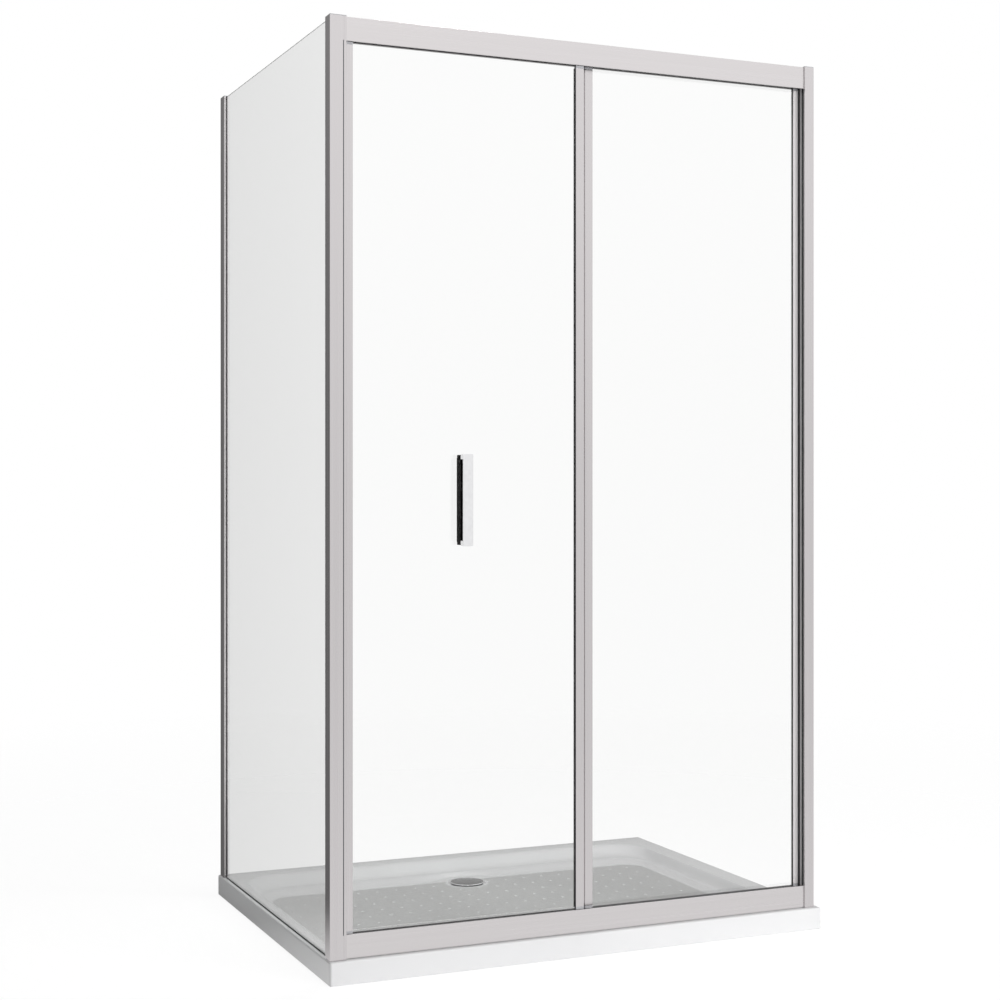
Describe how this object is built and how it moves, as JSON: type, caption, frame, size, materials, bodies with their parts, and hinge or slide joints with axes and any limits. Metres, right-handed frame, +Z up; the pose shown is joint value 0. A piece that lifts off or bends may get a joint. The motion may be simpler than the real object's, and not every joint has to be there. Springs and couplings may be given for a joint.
{
  "type": "shower enclosure with sliding door",
  "caption": "Framed corner shower enclosure on a low tray: a hung sliding glass door, a fixed glass panel behind it and a glass side panel.",
  "frame": {"origin": "centre of the tray's footprint, on the floor under the tray", "axes": "+X to the right as seen from outside the door, +Y from the door towards the back wall, +Z up"},
  "size_m": [1.223, 0.9424, 2.05],
  "materials": {
    "tray_white": "smooth gloss white with a softly sheened floor",
    "base_board": "raw pressed board",
    "waste_plastic": "moulded grey",
    "satin_aluminium": "satin anodised silver",
    "cap_grey": "moulded grey",
    "black_rubber": "smooth black",
    "pale_gasket": "smooth pale grey",
    "clear_vinyl": "smooth translucent",
    "grey_brush": "woven pile",
    "brushed_steel": "brushed",
    "polished_chrome": "mirror polished",
    "white_nylon": "moulded off-white",
    "clear_glass": "clear toughened with a green edge",
    "handle_black": "fine matt black"
  },
  "bodies": {
    "frame": {"tray_shell": "tray_white", "tray_base_board": "base_board", "waste_body": "waste_plastic", "corner_profile": "satin_aluminium", "corner_fillers": "satin_aluminium", "jamb_left": "satin_aluminium", "wall_profile_right": "satin_aluminium", "jamb_right": "satin_aluminium", "wall_profile_side": "satin_aluminium", "top_rail": "satin_aluminium", "bottom_rail": "satin_aluminium", "fixed_stile": "satin_aluminium", "fixed_wall_stile": "satin_aluminium", "corner_cap": "cap_grey", "wall_profile_caps": "cap_grey", "fixed_stile_caps": "cap_grey", "waste_gasket": "black_rubber", "jamb_gaskets": "black_rubber", "side_sill_seal": "black_rubber", "side_glass_gaskets": "black_rubber", "fixed_glass_gaskets": "black_rubber", "track_buffers": "black_rubber", "setting_blocks": "black_rubber", "corner_foot": "black_rubber", "strike_magnet": "black_rubber", "sill_gasket": "pale_gasket", "door_brush_seal": "grey_brush", "waste_strainer": "brushed_steel", "rail_screws": "brushed_steel", "waste_flange": "polished_chrome", "side_glass": "clear_glass", "fixed_glass": "clear_glass"},
    "door": {"door_glass": "clear_glass", "door_leading_stile": "satin_aluminium", "door_trailing_stile": "satin_aluminium", "door_stile_caps": "cap_grey", "door_magnet": "black_rubber", "door_edge_gaskets": "black_rubber", "door_drip_seal": "clear_vinyl", "interlock_seal": "black_rubber", "guide_blocks": "cap_grey", "guide_pins": "brushed_steel", "carriage_left": "brushed_steel", "carriage_right": "brushed_steel", "wheel_axles": "brushed_steel", "carriage_bolts": "brushed_steel", "carriage_nuts": "brushed_steel", "glass_bushes": "white_nylon", "handle_base": "handle_black", "handle_grip": "polished_chrome", "handle_inner_plate": "handle_black", "handle_screws": "brushed_steel"},
    "wheel_left_outer_body": {"wheel_left_outer": "white_nylon"},
    "wheel_left_inner_body": {"wheel_left_inner": "white_nylon"},
    "wheel_right_inner_body": {"wheel_right_inner": "white_nylon"},
    "wheel_right_outer_body": {"wheel_right_outer": "white_nylon"},
    "guide_roller_left_body": {"guide_roller_left": "white_nylon"},
    "guide_roller_right_body": {"guide_roller_right": "white_nylon"},
    "drain_cover": {"drain_cap": "polished_chrome"}
  },
  "joints": [
    {"name": "door_slide", "type": "slide", "parent": "frame", "child": "door", "axis": [1, 0, 0], "range_m": [0, 0.54]},
    {"name": "wheel_left_outer_spin", "type": "hinge", "parent": "door", "child": "wheel_left_outer_body", "pos_m": [-0.5169, -0.4364, 2.0318], "axis": [0, 1, 0], "range_deg": [-5, 3100]},
    {"name": "wheel_left_inner_spin", "type": "hinge", "parent": "door", "child": "wheel_left_inner_body", "pos_m": [-0.4649, -0.4364, 2.0318], "axis": [0, 1, 0], "range_deg": [-5, 3100]},
    {"name": "wheel_right_inner_spin", "type": "hinge", "parent": "door", "child": "wheel_right_inner_body", "pos_m": [-0.1143, -0.4364, 2.0318], "axis": [0, 1, 0], "range_deg": [-5, 3100]},
    {"name": "wheel_right_outer_spin", "type": "hinge", "parent": "door", "child": "wheel_right_outer_body", "pos_m": [-0.0623, -0.4364, 2.0318], "axis": [0, 1, 0], "range_deg": [-5, 3100]},
    {"name": "guide_roller_left_spin", "type": "hinge", "parent": "door", "child": "guide_roller_left_body", "pos_m": [-0.5629, -0.4394, 0.0965], "axis": [0, 0, 1], "range_deg": [-5, 8370]},
    {"name": "guide_roller_right_spin", "type": "hinge", "parent": "door", "child": "guide_roller_right_body", "pos_m": [-0.0182, -0.4394, 0.0965], "axis": [0, 0, 1], "range_deg": [-5, 8370]},
    {"name": "drain_cap_lift", "type": "slide", "parent": "frame", "child": "drain_cover", "axis": [0, 0, 1], "range_m": [0, 0.06]}
  ],
  "couplings": [
    {"joint": "wheel_left_outer_spin", "follows": "door_slide", "rad_per_m": 100},
    {"joint": "wheel_left_inner_spin", "follows": "door_slide", "rad_per_m": 100},
    {"joint": "wheel_right_inner_spin", "follows": "door_slide", "rad_per_m": 100},
    {"joint": "wheel_right_outer_spin", "follows": "door_slide", "rad_per_m": 100},
    {"joint": "guide_roller_left_spin", "follows": "door_slide", "rad_per_m": 270.27},
    {"joint": "guide_roller_right_spin", "follows": "door_slide", "rad_per_m": 270.27}
  ]
}
